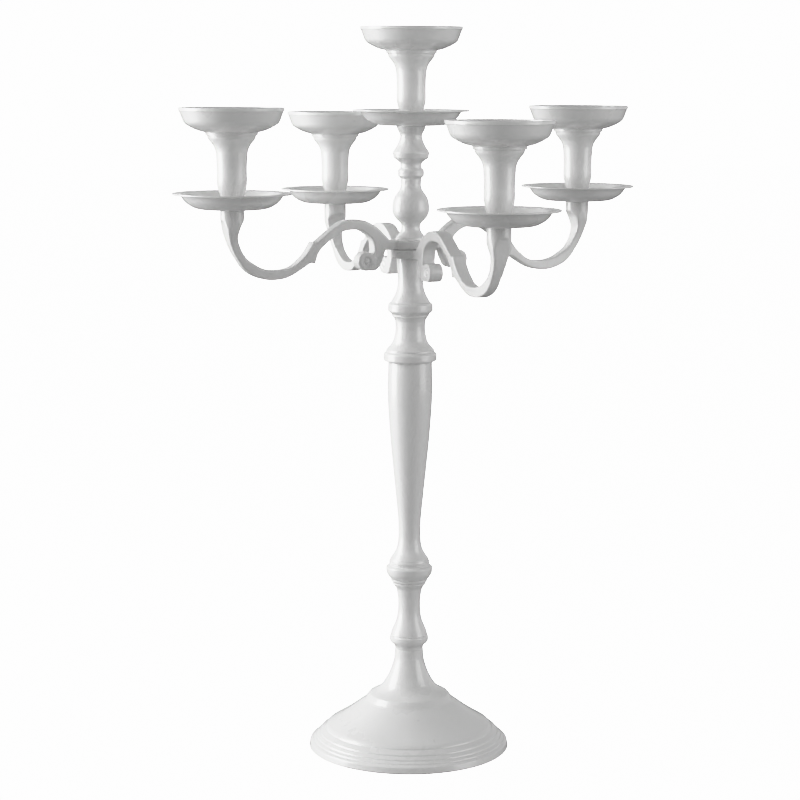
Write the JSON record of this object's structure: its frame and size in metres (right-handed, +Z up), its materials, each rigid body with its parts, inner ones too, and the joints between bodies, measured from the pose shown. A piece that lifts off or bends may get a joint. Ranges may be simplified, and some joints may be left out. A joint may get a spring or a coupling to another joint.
{
  "type": "candelabrum",
  "caption": "Multi-arm table candelabrum: turned stem on a round domed foot, scrolled arms with drip plates and wide candle bowls on trumpet stems, one higher light in the middle.",
  "frame": {"origin": "on the floor at the middle of the foot", "axes": "+Z up the stem; the upper pair of arms along X (left is -X), the lower pair along Y (front is -Y)"},
  "size_m": [0.5416, 0.5416, 0.8],
  "materials": {
    "white_enamel": "gloss",
    "grey_felt": "matte",
    "zinc_steel": "satin"
  },
  "bodies": {
    "stem": {"base_felt": "grey_felt", "foot": "white_enamel", "base_washer": "zinc_steel", "base_nut": "zinc_steel", "tie_rod": "zinc_steel", "lower_spindle": "white_enamel", "column": "white_enamel", "neck": "white_enamel"},
    "lower_arm_pair": {"lower_arms": "white_enamel", "front_stud": "zinc_steel", "back_stud": "zinc_steel", "front_drip_plate": "white_enamel", "back_drip_plate": "white_enamel"},
    "upper_arm_pair": {"upper_arms": "white_enamel", "left_stud": "zinc_steel", "right_stud": "zinc_steel", "left_drip_plate": "white_enamel", "right_drip_plate": "white_enamel"},
    "baluster": {"upper_baluster": "white_enamel", "centre_drip_plate": "white_enamel"},
    "centre_cup": {"centre_trumpet": "white_enamel", "centre_bowl": "white_enamel"},
    "left_cup": {"left_trumpet": "white_enamel", "left_bowl": "white_enamel"},
    "right_cup": {"right_trumpet": "white_enamel", "right_bowl": "white_enamel"},
    "front_cup": {"front_trumpet": "white_enamel", "front_bowl": "white_enamel"},
    "back_cup": {"back_trumpet": "white_enamel", "back_bowl": "white_enamel"}
  },
  "joints": [
    {"name": "lower_arms_swivel", "type": "hinge", "parent": "stem", "child": "lower_arm_pair", "pos_m": [0, 0, 0.5505], "axis": [0, 0, 1], "continuous": true},
    {"name": "upper_arms_swivel", "type": "hinge", "parent": "lower_arm_pair", "child": "upper_arm_pair", "pos_m": [0, 0, 0.5603], "axis": [0, 0, 1], "range_deg": [-50, 50]},
    {"name": "baluster_turn", "type": "hinge", "parent": "stem", "child": "baluster", "pos_m": [0, 0, 0.5701], "axis": [0, 0, 1], "continuous": true},
    {"name": "centre_cup_turn", "type": "hinge", "parent": "stem", "child": "centre_cup", "pos_m": [0, 0, 0.696], "axis": [0, 0, 1], "continuous": true},
    {"name": "left_cup_turn", "type": "hinge", "parent": "upper_arm_pair", "child": "left_cup", "pos_m": [-0.2075, 0, 0.6104], "axis": [0, 0, 1], "continuous": true},
    {"name": "right_cup_turn", "type": "hinge", "parent": "upper_arm_pair", "child": "right_cup", "pos_m": [0.2075, 0, 0.6104], "axis": [0, 0, 1], "continuous": true},
    {"name": "front_cup_turn", "type": "hinge", "parent": "lower_arm_pair", "child": "front_cup", "pos_m": [0, -0.2075, 0.6006], "axis": [0, 0, 1], "continuous": true},
    {"name": "back_cup_turn", "type": "hinge", "parent": "lower_arm_pair", "child": "back_cup", "pos_m": [0, 0.2075, 0.6006], "axis": [0, 0, 1], "continuous": true}
  ]
}
